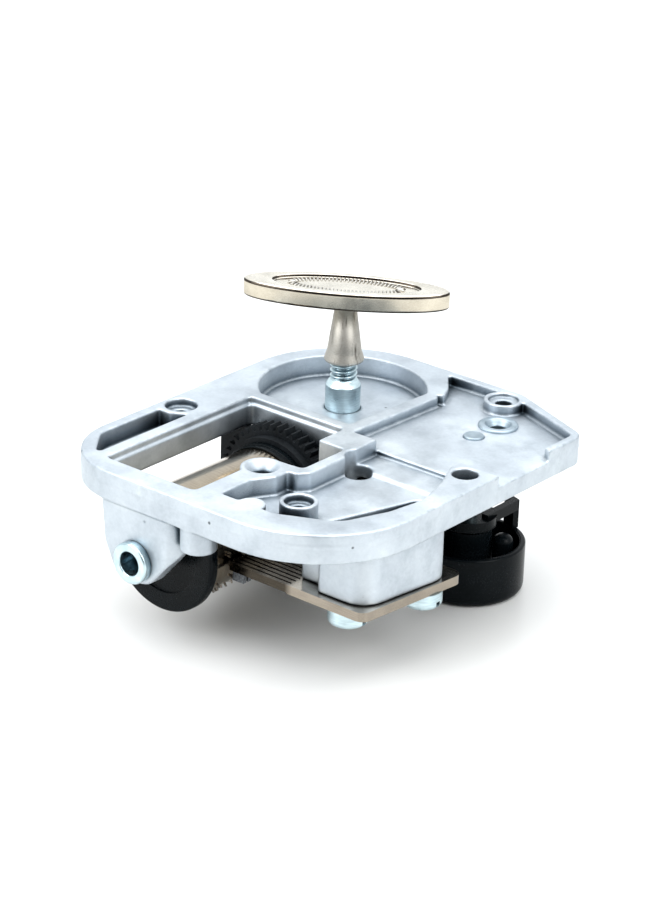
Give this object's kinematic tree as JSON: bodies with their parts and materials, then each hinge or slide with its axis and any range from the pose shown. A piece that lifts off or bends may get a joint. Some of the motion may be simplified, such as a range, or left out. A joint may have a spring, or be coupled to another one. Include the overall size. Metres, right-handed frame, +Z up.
{
  "type": "cylinder music box",
  "caption": "Wind-up cylinder music box movement: cast frame, pinned brass cylinder, steel comb, spring housing, gear train, air-brake governor and a winding key on top.",
  "frame": {"origin": "middle of the bounding box's base, on the surface it stands on", "axes": "+Z up through the mounting face towards the key, +Y along the cylinder's axle from its bushing to the spring housing, +X from the cylinder to the comb"},
  "size_m": [0.0418, 0.0508, 0.0332],
  "materials": {
    "cast_zinc": "die-cast zinc alloy, as cast, satin",
    "plated_steel": "turned steel, bright zinc plate",
    "nickel_plate": "stamped steel, satin nickel plate",
    "comb_steel": "ground spring steel",
    "spring_steel": "rolled spring steel strip",
    "brass": "drawn brass tube, brushed",
    "pin_steel": "ground steel wire",
    "lead": "cast lead",
    "black_plastic": "moulded black acetal, semi-gloss",
    "housing_plastic": "moulded black nylon, matt",
    "gear_plastic": "moulded natural acetal"
  },
  "bodies": {
    "movement": {"frame": "cast_zinc", "front_bushing": "plated_steel", "rear_bushing": "brass", "spring_housing": "housing_plastic", "housing_screws": "plated_steel", "mainspring": "spring_steel", "comb": "comb_steel", "comb_screws": "plated_steel", "bass_weights": "lead", "governor_cup": "black_plastic", "governor_bracket": "black_plastic", "governor_rivet": "plated_steel", "pivot_plug": "plated_steel"},
    "winding_key": {"winding_arbor": "plated_steel", "key_stem": "nickel_plate", "key_knob": "nickel_plate", "ratchet_wheel": "plated_steel"},
    "cylinder": {"cylinder": "brass", "cylinder_pins": "pin_steel", "end_cap": "black_plastic", "cylinder_gear": "black_plastic", "cylinder_pinion": "black_plastic", "cylinder_axle": "plated_steel"},
    "spring_gear": {"spring_gear": "gear_plastic", "ratchet_click": "spring_steel"},
    "idler": {"idler_pinion": "black_plastic", "worm_wheel": "gear_plastic", "idler_axle": "plated_steel"},
    "governor": {"governor_worm": "plated_steel", "governor_rotor": "black_plastic", "governor_weights": "black_plastic"}
  },
  "joints": [
    {"name": "cylinder_spin", "type": "hinge", "parent": "movement", "child": "cylinder", "pos_m": [-0.00745, -0.01, 0.0105], "axis": [0, 1, 0], "continuous": true},
    {"name": "key_wind", "type": "hinge", "parent": "movement", "child": "winding_key", "pos_m": [-0.00831, 0.0125, 0.0202], "axis": [0, 0, 1], "range_deg": [-1440, 0]},
    {"name": "spring_gear_spin", "type": "hinge", "parent": "movement", "child": "spring_gear", "pos_m": [-0.00831, 0.0125, 0.014], "axis": [0, 0, 1], "continuous": true},
    {"name": "idler_spin", "type": "hinge", "parent": "movement", "child": "idler", "pos_m": [0.00563, 0.005, 0.0114], "axis": [0, 1, 0], "continuous": true},
    {"name": "governor_spin", "type": "hinge", "parent": "movement", "child": "governor", "pos_m": [0.01015, 0.0138, 0.01], "axis": [0, 0, 1], "continuous": true}
  ],
  "couplings": [
    {"joint": "spring_gear_spin", "follows": "cylinder_spin", "ratio": 0.29412},
    {"joint": "idler_spin", "follows": "cylinder_spin", "ratio": -1.7857},
    {"joint": "governor_spin", "follows": "cylinder_spin", "ratio": -42.857}
  ]
}
